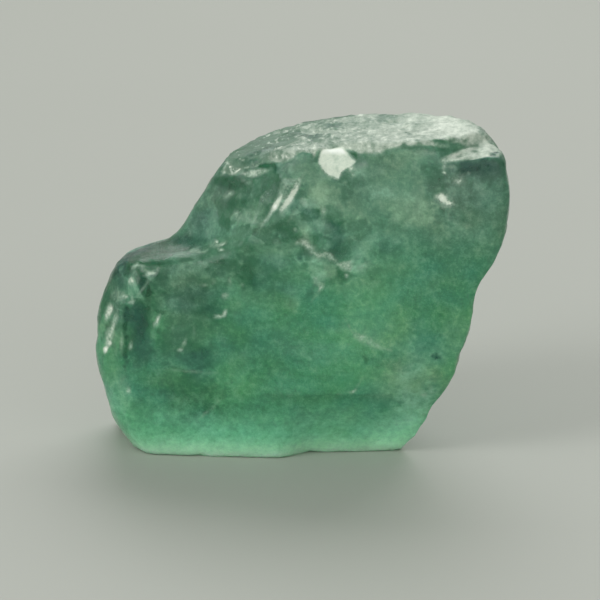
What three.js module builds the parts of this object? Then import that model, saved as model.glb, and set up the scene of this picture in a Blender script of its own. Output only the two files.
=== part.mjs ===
// A rough lump of green fluorite, broken on every side and flat below.
// It grew and broke as one piece, so it is one closed solid.
// Millimetres and degrees, +X to the right, +Y to the back, +Z up.

import * as THREE from 'three';
import { mergeVertices } from 'three/addons/utils/BufferGeometryUtils.js';
import { ImprovedNoise } from 'three/addons/math/ImprovedNoise.js';

// ---------------------------------------------------------------------------
// Driving dimensions
// ---------------------------------------------------------------------------

// The outline of the broad side is drawn square to a sight line that looks
// down on the lump by this angle and crosses its middle at this height.
const SIGHT_TILT = 16;
const SIGHT_HEIGHT = 13.9;

// [across, up] from the sight line, clockwise from the left end of the base.
const OUTLINE = [
  [-15.9, -15.8], [-17.6, -13.6], [-18.7, -12.2], [-19.4, -9.2], [-20.4, -6.2],
  [-20.7, -4.6], [-20.3, -3.4], [-20.2, -1.1], [-19.6, 1.0], [-18.8, 3.1],
  [-17.4, 4.8], [-16.1, 5.3], [-15.0, 6.1], [-12.2, 7.1], [-11.4, 8.2],
  [-9.9, 10.6], [-8.2, 13.0], [-7.1, 14.8], [-6.0, 15.9], [-4.4, 16.8],
  [-1.5, 17.2], [3.0, 18.0], [8.5, 18.8], [12.0, 19.0], [14.6, 18.4],
  [16.9, 17.4], [18.6, 15.9], [19.8, 14.5], [19.8, 13.0], [20.2, 10.5],
  [20.2, 8.7], [19.7, 5.9], [18.8, 3.7], [17.5, 1.8], [17.0, 0.8],
  [16.7, -2.1], [16.2, -3.8], [15.5, -5.2], [15.2, -7.6], [14.3, -10.0],
  [13.0, -11.9], [11.1, -14.1], [9.2, -15.9], [8.0, -19.0], [-14.0, -19.0],
];

// Faces are broken flat. Each has a point on it, the way it turns (0 faces
// the front, 90 the right), how far it leans up, and the radius that rounds
// it into the rest.
const FACES = {
  front: { at: [5.0, -10.9, 20.0], turn: -4, lean: -2, round: 1.2 },
  underFront: { at: [-6.0, -8.0, 0.0], turn: -4, lean: -20, round: 1.2 },
  lobeFront: { at: [-12.0, -9.2, 9.0], turn: -10, lean: -5, round: 1.6 },
  lobeLeft: { at: [-18.4, -7.0, 11.0], turn: -50, lean: 3, round: 1.8 },
  lobeBack: { at: [-20.6, -3.0, 11.0], turn: -106, lean: 2, round: 1.8 },
  lobeUnder: { at: [-18.2, -6.9, 3.8], turn: -62, lean: -27, round: 1.4 },
  rightLow: { at: [14.8, -8.6, 6.3], turn: 112, lean: -24, round: 1.0 },
  rightHigh: { at: [20.9, -8.4, 26.0], turn: 104, lean: -19, round: 1.2 },
  rightCrest: { at: [20.2, -8.4, 28.5], turn: 98, lean: 6, round: 1.0 },
  top: { at: [6.0, -3.0, 32.8], turn: -90, lean: 86.8, round: 0.4 },
  topLeft: { at: [0.6, -5.0, 32.3], turn: -94, lean: 71, round: 2.0 },
  backHigh: { at: [6.0, 4.2, 32.4], turn: 170, lean: 42, round: 1.2 },
  back: { at: [0.0, 10.9, 15.0], turn: 178, lean: 5, round: 1.6 },
  backLeft: { at: [-15.5, 6.0, 10.0], turn: -141, lean: 4, round: 1.6 },
  backRight: { at: [11.5, 8.0, 13.0], turn: 146, lean: -4, round: 1.6 },
  backUnder: { at: [0.0, 8.6, 0.0], turn: 176, lean: -26, round: 1.2 },
};

// The crest rises from a shoulder: what lies beyond both is broken away.
const CREST = [
  { at: [-3.8, -10.5, 25.0], turn: -45, lean: 21, round: 0.5 },
  { at: [-10.6, -2.6, 25.6], turn: -126, lean: 24, round: 1.4 },
];
const SHOULDER = [
  { at: [-12.6, -4.0, 20.9], turn: -92, lean: 79, round: 0.8 },
  { at: [-15.0, 0.6, 20.2], turn: -152, lean: 40, round: 1.4 },
];

// Steps are inward corners of two faces.
const STEPS = {
  terrace: [
    { at: [13.9, -11.0, 32.0], turn: 40, lean: 12, round: 0.3 },
    { at: [15.5, -11.0, 31.6], turn: -90, lean: 80, round: 0.3 }],
  undercut: [
    { at: [4.0, -6.3, 0.0], turn: 1, lean: -27, round: 0.9 },
    { at: [-1.2, -8.0, 0.0], turn: 52, lean: -12, round: 0.7 }],
  rightHigh: [
    { at: [17.2, 1.0, 24.0], turn: 97, lean: -14, round: 0.4 },
    { at: [18.0, -2.6, 22.0], turn: 158, lean: 12, round: 0.4 }],
  rightLow: [
    { at: [12.4, 3.5, 9.0], turn: 124, lean: -20, round: 0.4 },
    { at: [13.0, 3.0, 14.5], turn: 110, lean: -62, round: 0.4 }],
  back: [
    { at: [3.0, 9.2, 24.0], turn: 172, lean: 9, round: 0.5 },
    { at: [1.0, 9.4, 18.6], turn: -150, lean: 72, round: 0.4 }],
};

// Chips are flat breaks that reach no further than their radius.
const CHIPS = [
  { at: [3.7, -10.2, 31.2], turn: 4, lean: 40, radius: 2.3 },
  { at: [-5.4, -8.0, 29.5], turn: -34, lean: 60, radius: 2.5 },
  { at: [-1.3, -10.55, 27.6], turn: -24, lean: 10, radius: 4.0 },
  { at: [-9.0, -8.9, 21.0], turn: -18, lean: 40, radius: 1.8 },
  { at: [18.6, -8.0, 17.0], turn: 62, lean: -12, radius: 3.0 },
  { at: [-7.0, 8.0, 25.0], turn: -162, lean: 32, radius: 4.5 },
  { at: [8.0, 9.3, 8.0], turn: 160, lean: -18, radius: 5.0 },
  { at: [15.2, 3.6, 22.0], turn: 126, lean: -12, radius: 5.5 },
  { at: [-15.2, 5.2, 15.5], turn: -128, lean: 26, radius: 4.0 },
  { at: [-9.4, 9.0, 8.0], turn: -162, lean: -10, radius: 4.5 },
  { at: [10.4, 9.4, 17.0], turn: 164, lean: 4, radius: 3.6 },
];

// Hollows have a depth, swellings a negative one, and both a reach along
// each axis.
const HOLLOWS = [
  { at: [-16.1, -8.1, 13.6], reach: [1.3, 2.6, 3.2], depth: 0.75 },
  { at: [-14.4, -8.9, 18.6], reach: [1.6, 2.0, 0.9], depth: -0.35 },
  { at: [-17.2, -7.6, 16.2], reach: [1.0, 2.0, 1.2], depth: -0.35 },
  { at: [-17.5, -7.5, 10.8], reach: [0.8, 2.0, 2.2], depth: -0.4 },
  { at: [-19.4, -5.2, 14.2], reach: [1.2, 1.6, 1.6], depth: -0.3 },
  { at: [-19.2, -5.6, 10.8], reach: [1.0, 1.8, 2.0], depth: -0.35 },
  { at: [-13.9, -9.0, 13.6], reach: [0.8, 2.0, 2.6], depth: -0.35 },
  { at: [-9.4, -9.6, 15.2], reach: [2.8, 3.0, 5.2], depth: 0.5 },
  { at: [-11.0, -9.6, 6.6], reach: [3.0, 3.0, 3.0], depth: 0.5 },
  { at: [-5.6, -10.2, 16.4], reach: [1.4, 2.0, 4.0], depth: -0.2 },
  { at: [4.2, -10.9, 23.0], reach: [3.4, 3.0, 3.2], depth: 0.55 },
  { at: [11.4, -10.8, 26.2], reach: [4.5, 3.0, 2.4], depth: -0.4 },
  { at: [10.6, -10.6, 16.0], reach: [4.8, 3.0, 4.2], depth: -0.45 },
  { at: [2.0, -10.4, 12.0], reach: [4.6, 3.0, 3.0], depth: 0.4 },
  { at: [6.0, -3.0, 32.7], reach: [6.0, 2.6, 3.0], depth: 0.35 },
  { at: [5.0, 9.0, 18.0], reach: [5.0, 4.0, 4.0], depth: 0.8 },
  { at: [-9.0, 8.6, 10.0], reach: [4.0, 4.0, 5.0], depth: -0.6 },
];

// Every broken face swells unevenly, and creases run over it.
const SWELL = [{ wave: 9.0, height: 0.45 }, { wave: 5.2, height: 0.2 }];
const CREASES = [{ wave: 6.5, height: 0.38 }, { wave: 3.0, height: 0.15 }];
const CREASE_MEAN = 0.2;

const BASE_ROUND = 0.25;
const CHIP_ROUND = 0.25;
const OUTLINE_ROUND = 0.8;

// The surface is looked for along rays that leave the heart of the lump.
const HEART = new THREE.Vector3(0, -1.0, 15.0);
const SEARCH_START = 3;
const SEARCH_STEP = 0.6;
const SEARCH_HALVINGS = 14;

// The rays begin as the corners of an even sphere, drawn out to the lump's
// own proportions. Then they are spread evenly and drawn to the ridges.
const SPHERE_DETAIL = 21;
const SPHERE_STRETCH = new THREE.Vector3(1.35, 0.95, 1.1);
const SPREAD_PASSES = 8;
const RIDGE_PASSES = 2;
const RIDGE_REACH = 0.4;
const RIDGE_HOLD = 0.06;
const SLOPE_STEP = 0.05;

// Triangle edges are turned where that lies closer to the surface.
const TURN_PASSES = 5;
const TURN_STRETCH = 1.9;
const TURN_THINNEST = 0.15;
const TURN_GAIN = 0.01;

// Corners this close to the ground lie on it.
const BASE_FLAT = 0.06;

const STONE_GREEN = '#3f8f6c';
const STONE_ROUGHNESS = 0.22;

// ---------------------------------------------------------------------------
// Form: each function is negative inside the stone and positive outside it
// ---------------------------------------------------------------------------

const smoothMax = (a, b, round) => {
  const overlap = Math.max(round - Math.abs(a - b), 0) / round;
  return Math.max(a, b) + overlap * overlap * round / 4;
};

const smoothMin = (a, b, round) => -smoothMax(-a, -b, round);

const tilt = THREE.MathUtils.degToRad(SIGHT_TILT);

const outlineCorners = OUTLINE
  .map(([across, up]) => ({ angle: Math.atan2(up, across), radius: Math.hypot(across, up) }))
  .sort((a, b) => a.angle - b.angle);

function outlineRadius(angle) {
  const count = outlineCorners.length;
  const found = outlineCorners.findIndex((corner) => corner.angle > angle);
  const next = found < 0 ? 0 : found;
  const a = outlineCorners[(next + count - 1) % count];
  const b = outlineCorners[next];
  const circle = 2 * Math.PI;
  const span = (b.angle - a.angle + circle) % circle;
  const part = ((angle - a.angle + circle) % circle) / span;
  return THREE.MathUtils.lerp(a.radius, b.radius, part);
}

function outsideOutline(p) {
  const up = (p.z - SIGHT_HEIGHT) * Math.cos(tilt) + p.y * Math.sin(tilt);
  return Math.hypot(p.x, up) - outlineRadius(Math.atan2(up, p.x));
}

function placeFace(face) {
  const turn = THREE.MathUtils.degToRad(face.turn);
  const lean = THREE.MathUtils.degToRad(face.lean);
  face.point = new THREE.Vector3(...face.at);
  face.normal = new THREE.Vector3(
    Math.sin(turn) * Math.cos(lean), -Math.cos(turn) * Math.cos(lean), Math.sin(lean));
}

const faces = Object.values(FACES);
const steps = Object.values(STEPS);
[...faces, ...CREST, ...SHOULDER, ...steps.flat(), ...CHIPS].forEach(placeFace);

const beyond = (face, p) => face.normal.x * (p.x - face.point.x)
  + face.normal.y * (p.y - face.point.y) + face.normal.z * (p.z - face.point.z);

const beyondEither = ([a, b], p) => smoothMax(beyond(a, p), beyond(b, p), b.round);

const beyondBoth = ([a, b], p) => smoothMin(beyond(a, p), beyond(b, p), b.round);

function inChip(chip, p) {
  return smoothMin(beyond(chip, p), chip.radius - p.distanceTo(chip.point), CHIP_ROUND);
}

function hollowDepth({ at, reach, depth }, p) {
  const distance = Math.hypot(
    (p.x - at[0]) / reach[0], (p.y - at[1]) / reach[1], (p.z - at[2]) / reach[2]);
  return depth * Math.exp(-(distance ** 2));
}

const noise = new ImprovedNoise();
const waves = (p, wave) => noise.noise(p.x / wave, p.y / wave, p.z / wave);

function unevenness(p) {
  let sum = 0;
  for (const { wave, height } of SWELL) sum += height * waves(p, wave);
  for (const { wave, height } of CREASES) sum += height * (CREASE_MEAN - Math.abs(waves(p, wave)));
  return sum;
}

function form(p) {
  let field = beyond(faces[0], p);
  for (const face of faces) field = smoothMax(field, beyond(face, p), face.round);
  const aboveShoulder = smoothMin(beyondEither(CREST, p), beyondEither(SHOULDER, p), SHOULDER[0].round);
  field = smoothMax(field, aboveShoulder, CREST[0].round);
  for (const step of steps) field = smoothMax(field, beyondBoth(step, p), step[0].round);
  for (const chip of CHIPS) field = smoothMax(field, inChip(chip, p), CHIP_ROUND);
  for (const hollow of HOLLOWS) field += hollowDepth(hollow, p);
  field = smoothMax(field + unevenness(p), outsideOutline(p), OUTLINE_ROUND);
  return smoothMax(field, -p.z, BASE_ROUND);
}

// ---------------------------------------------------------------------------
// Surface
// ---------------------------------------------------------------------------

// The point of the surface that is seen from the heart toward a place.
function surfaceToward(place) {
  const ray = place.clone().sub(HEART).normalize();
  const p = new THREE.Vector3();
  const inside = (reach) => form(p.copy(HEART).addScaledVector(ray, reach)) < 0;
  let outer = SEARCH_START;
  while (inside(outer)) outer += SEARCH_STEP;
  let inner = outer - SEARCH_STEP;
  for (let i = 0; i < SEARCH_HALVINGS; i++) {
    const middle = (inner + outer) / 2;
    if (inside(middle)) inner = middle;
    else outer = middle;
  }
  return HEART.clone().addScaledVector(ray, inner);
}

function slopeAt(p) {
  const slope = new THREE.Vector3();
  for (const axis of ['x', 'y', 'z']) {
    const ahead = p.clone();
    const behind = p.clone();
    ahead[axis] += SLOPE_STEP;
    behind[axis] -= SLOPE_STEP;
    slope[axis] = form(ahead) - form(behind);
  }
  return slope.normalize();
}

function neighboursOf(geometry) {
  const near = Array.from({ length: geometry.attributes.position.count }, () => new Set());
  const corners = geometry.index.array;
  for (let i = 0; i < corners.length; i += 3) {
    for (let k = 0; k < 3; k++) {
      near[corners[i + k]].add(corners[i + (k + 1) % 3]);
      near[corners[i + k]].add(corners[i + (k + 2) % 3]);
    }
  }
  return near.map((set) => [...set]);
}

function spreadEvenly(points, near) {
  return points.map((_, i) => {
    const middle = new THREE.Vector3();
    for (const j of near[i]) middle.addScaledVector(points[j], 1 / near[i].length);
    return surfaceToward(middle);
  });
}

// A point close to a ridge goes to where the slopes around it meet.
function drawToRidges(points, near) {
  const slopes = points.map(slopeAt);
  const apart = new THREE.Vector3();
  return points.map((p, i) => {
    const spread = new THREE.Matrix3().set(RIDGE_HOLD, 0, 0, 0, RIDGE_HOLD, 0, 0, 0, RIDGE_HOLD);
    const move = new THREE.Vector3();
    for (const j of [i, ...near[i]]) {
      const slope = slopes[j].toArray();
      move.addScaledVector(slopes[j], slopes[j].dot(apart.subVectors(points[j], p)));
      for (let k = 0; k < 9; k++) spread.elements[k] += slope[k % 3] * slope[Math.floor(k / 3)];
    }
    move.applyMatrix3(spread.invert());
    return move.length() < RIDGE_REACH ? surfaceToward(move.add(p)) : p;
  });
}

// Positive while a triangle faces away from the heart.
function facing(a, b, c) {
  const [u, v, w] = [a, b, c].map((p) => p.clone().sub(HEART));
  return u.dot(v.cross(w));
}

function thinness(a, b, c) {
  const longest = Math.max(a.distanceTo(b), b.distanceTo(c), c.distanceTo(a));
  return 2 * new THREE.Triangle(a, b, c).getArea() / longest;
}

const gapUnder = (a, b) => Math.abs(form(a.clone().lerp(b, 0.5)));

// Two triangles share the edge a-b and have the far corners c and d. Where
// the edge c-d lies closer to the surface, it takes the place of a-b.
function turnEdges(points, corners) {
  const count = points.length;
  const triangleAt = new Map();
  for (let i = 0; i < corners.length; i += 3) {
    for (let k = 0; k < 3; k++) {
      triangleAt.set(corners[i + k] * count + corners[i + (k + 1) % 3], i);
    }
  }
  const farCorner = (i, a, b) => corners[i] + corners[i + 1] + corners[i + 2] - a - b;
  const changed = new Set();
  for (const [edge, left] of [...triangleAt]) {
    const a = Math.floor(edge / count);
    const b = edge % count;
    const right = triangleAt.get(b * count + a);
    if (a > b || changed.has(left) || changed.has(right)) continue;
    const c = farCorner(left, a, b);
    const d = farCorner(right, a, b);
    if (triangleAt.has(c * count + d) || triangleAt.has(d * count + c)) continue;
    const [pa, pb, pc, pd] = [a, b, c, d].map((i) => points[i]);
    const long = pc.distanceTo(pd) > TURN_STRETCH * pa.distanceTo(pb);
    const folded = facing(pa, pd, pc) <= 0 || facing(pd, pb, pc) <= 0;
    const thin = Math.min(thinness(pa, pd, pc), thinness(pd, pb, pc)) < TURN_THINNEST;
    if (long || folded || thin || gapUnder(pc, pd) > gapUnder(pa, pb) - TURN_GAIN) continue;
    corners.set([a, d, c], left);
    corners.set([d, b, c], right);
    changed.add(left).add(right);
    triangleAt.set(c * count + d, left);
  }
}

function stoneGeometry() {
  const sphere = new THREE.IcosahedronGeometry(1, SPHERE_DETAIL);
  sphere.deleteAttribute('normal');
  sphere.deleteAttribute('uv');
  const geometry = mergeVertices(sphere, 1e-5);
  const near = neighboursOf(geometry);
  const position = geometry.attributes.position;
  let points = near.map((_, i) => {
    const corner = new THREE.Vector3().fromBufferAttribute(position, i);
    return surfaceToward(corner.multiply(SPHERE_STRETCH).add(HEART));
  });
  for (let i = 0; i < SPREAD_PASSES; i++) points = spreadEvenly(points, near);
  for (let i = 0; i < RIDGE_PASSES; i++) points = drawToRidges(points, near);
  for (let i = 0; i < TURN_PASSES; i++) turnEdges(points, geometry.index.array);
  points.forEach((p, i) => position.setXYZ(i, p.x, p.y, p.z < BASE_FLAT ? 0 : p.z));
  return geometry;
}

// The origin is under the middle of the lump, on the ground.
function standOnOrigin(geometry) {
  geometry.computeBoundingBox();
  const { min, max } = geometry.boundingBox;
  geometry.translate(-(min.x + max.x) / 2, -(min.y + max.y) / 2, -min.z);
  geometry.computeVertexNormals();
  return geometry;
}

const fluorite = new THREE.Mesh(
  standOnOrigin(stoneGeometry()),
  new THREE.MeshStandardMaterial({ color: STONE_GREEN, roughness: STONE_ROUGHNESS, metalness: 0 }));
fluorite.name = 'fluorite';

const specimen = new THREE.Group();
specimen.add(fluorite);

export default specimen;
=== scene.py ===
import math
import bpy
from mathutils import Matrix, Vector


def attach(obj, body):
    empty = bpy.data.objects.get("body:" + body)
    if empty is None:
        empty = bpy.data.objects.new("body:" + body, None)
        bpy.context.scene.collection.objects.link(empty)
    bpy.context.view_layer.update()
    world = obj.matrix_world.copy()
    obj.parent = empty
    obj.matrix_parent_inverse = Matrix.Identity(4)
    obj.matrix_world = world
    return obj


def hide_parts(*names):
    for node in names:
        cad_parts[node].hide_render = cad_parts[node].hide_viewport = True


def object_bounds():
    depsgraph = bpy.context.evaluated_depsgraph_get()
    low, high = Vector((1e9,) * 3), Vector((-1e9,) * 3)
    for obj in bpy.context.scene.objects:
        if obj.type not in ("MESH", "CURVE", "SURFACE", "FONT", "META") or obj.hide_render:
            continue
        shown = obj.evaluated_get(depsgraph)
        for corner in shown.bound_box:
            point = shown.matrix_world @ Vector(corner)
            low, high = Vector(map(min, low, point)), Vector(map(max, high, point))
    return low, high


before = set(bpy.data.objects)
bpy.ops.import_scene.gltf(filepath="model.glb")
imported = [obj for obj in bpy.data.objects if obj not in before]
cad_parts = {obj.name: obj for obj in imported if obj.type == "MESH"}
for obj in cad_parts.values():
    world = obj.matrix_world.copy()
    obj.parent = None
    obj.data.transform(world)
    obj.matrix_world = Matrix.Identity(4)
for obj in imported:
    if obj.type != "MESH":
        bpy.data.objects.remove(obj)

from types import SimpleNamespace

import bmesh
import bpy
from mathutils import Vector, noise

# A rough lump of milky green fluorite on a plain pale floor. Blender's own sizes are metres;
# the stone's marks and breaks are set out in millimetres, and MM turns them into metres.

MM = 0.001
cad_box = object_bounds()
LOW, HIGH = cad_box      # the corners of the solid's own box, in metres

# The broad side is seen along a sight line that looks down by this angle, crosses the middle
# of the stone at this height and starts this far away. Its lengths are in millimetres.
SIGHT_TILT = math.radians(16)
SIGHT_HEIGHT = 14.0
SIGHT_REACH = 450.0
SIGHT_BACK = Vector((0.0, -math.cos(SIGHT_TILT), math.sin(SIGHT_TILT)))
SIGHT_UP = Vector((0.0, math.sin(SIGHT_TILT), math.cos(SIGHT_TILT)))


# ---------------------------------------------------------------------------
# Marks on the broad side, read square to the sight line in millimetres [across, up]
# ---------------------------------------------------------------------------

EDGE_SOFTNESS = 0.22     # how far a crisp mark's edge fades
MARGIN = 1.0             # how far beyond a mark's box its edge is still measured
FAR = 9.0                # the distance given to any place further out


def patch(strength, across, up, long, wide, slant=0.0, softness=EDGE_SOFTNESS):
    """A rounded mark with these half lengths, whose long way rises by slant degrees.

    Gives its strength, its softness, and a function that tells how far inside it a place is.
    """
    turn = math.radians(slant)
    reach = max(long, wide) * 2.0 + MARGIN

    def depth(here, high):
        right, over = here - across, high - up
        if abs(right) > reach or abs(over) > reach:
            return -FAR
        along = right * math.cos(turn) + over * math.sin(turn)
        aside = over * math.cos(turn) - right * math.sin(turn)
        return (1.0 - math.hypot(along / long, aside / wide)) * min(long, wide)

    return strength, softness, depth


def cloud(strength, across, up, long, wide, slant=0.0):
    """A rounded mark that fades all the way out from its middle."""
    return patch(strength, across, up, long, wide, slant, 0.8 * min(long, wide))


def shard(strength, *corners):
    """A crisp flake with these corners, named in order round it."""
    sides = list(zip(corners, corners[1:] + corners[:1]))
    places, heights = zip(*corners)
    left, right = min(places) - MARGIN, max(places) + MARGIN
    low, top = min(heights) - MARGIN, max(heights) + MARGIN

    def depth(here, high):
        if not (left < here < right and low < high < top):
            return -FAR
        nearest, inside = FAR, False
        for (x0, y0), (x1, y1) in sides:
            run, climb = x1 - x0, y1 - y0
            part = ((here - x0) * run + (high - y0) * climb) / (run * run + climb * climb)
            part = min(max(part, 0.0), 1.0)
            nearest = min(nearest, math.hypot(here - x0 - part * run, high - y0 - part * climb))
            if (y0 > high) != (y1 > high) and here < x0 + (high - y0) * run / climb:
                inside = not inside
        return nearest if inside else -nearest

    return strength, EDGE_SOFTNESS, depth


# In the tables below, a shard is given as strength and corners, and a patch or a cloud as
# strength, across, up, half its length, half its width, its slant and any softness of its own.

# Flakes that have come away to a white frosted break. The diamond and the streak's face are cleavage facets
# whose white is partly painted reflection of the light they catch.
WHITE_SHARDS = {
    # A cleavage facet: frosted, and white partly from painted reflection.
    "cleavage_diamond": shard(
        1.12, (2.1, 14.9), (2.3, 15.2), (2.9, 15.4), (4.2, 15.3), (4.6, 14.9), (5.1, 14.4), (5.6, 13.8),
        (5.2, 13.4), (4.6, 13.1), (4.2, 12.7), (3.9, 12.1), (3.6, 12.1), (3.0, 12.4), (2.4, 12.7),
        (2.1, 13.2), (1.8, 13.8), (1.9, 14.3)),
    "diamond_side": shard(0.8, (1.1, 15.3), (1.7, 15.3), (1.7, 14.4), (1.3, 14.1)),
    "left_lens": shard(
        0.74, (-6.0, 12.6), (-5.7, 12.9), (-5.0, 13.1), (-3.8, 13.2), (-3.0, 13.0), (-3.9, 12.5),
        (-4.5, 12.3), (-5.6, 12.3)),
    # A cleavage facet: frosted, and white partly from painted reflection.
    "streak_face": shard(
        0.50, (-2.9, 9.3), (-2.4, 10.2), (-2.1, 11.4), (-1.6, 12.3), (-0.8, 12.2), (0.2, 12.2),
        (-0.2, 11.0), (-1.1, 9.5), (-2.0, 8.9)),
    "terrace": shard(
        0.90, (13.9, 13.8), (14.2, 14.2), (15.5, 14.8), (16.5, 15.2), (17.8, 15.4), (18.2, 15.8),
        (18.4, 16.1), (19.0, 16.1), (19.5, 15.6), (20.0, 15.1), (19.0, 14.5), (18.0, 14.2), (16.5, 14.0),
        (15.5, 13.8)),
    "shelf_strip": shard(
        0.55, (-11.1, 4.8), (-11.0, 5.1), (-10.6, 5.3), (-10.2, 5.2), (-9.9, 5.0), (-9.1, 5.0), (-9.5, 4.7)),
    "hook_head": shard(
        0.48, (1.3, 2.3), (1.8, 2.4), (2.0, 1.8), (2.6, 1.9), (2.4, 1.3), (1.9, 0.8), (1.8, 1.4), (1.3, 1.6)),
    "crack_middle": shard(
        0.50, (1.2, 4.8), (1.9, 4.6), (2.6, 4.8), (3.0, 4.5), (2.6, 4.3), (2.0, 4.1), (1.6, 4.4)),
    "middle_patch": shard(
        0.62, (3.6, 3.6), (4.1, 3.8), (5.2, 4.0), (5.3, 3.4), (5.0, 2.9), (4.4, 3.0), (4.0, 3.3)),
    "veil": shard(
        0.35, (4.5, -2.0), (5.3, -3.2), (6.8, -3.6), (7.6, -4.3), (9.2, -5.1), (7.2, -4.7), (5.4, -3.9)),
}
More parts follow.
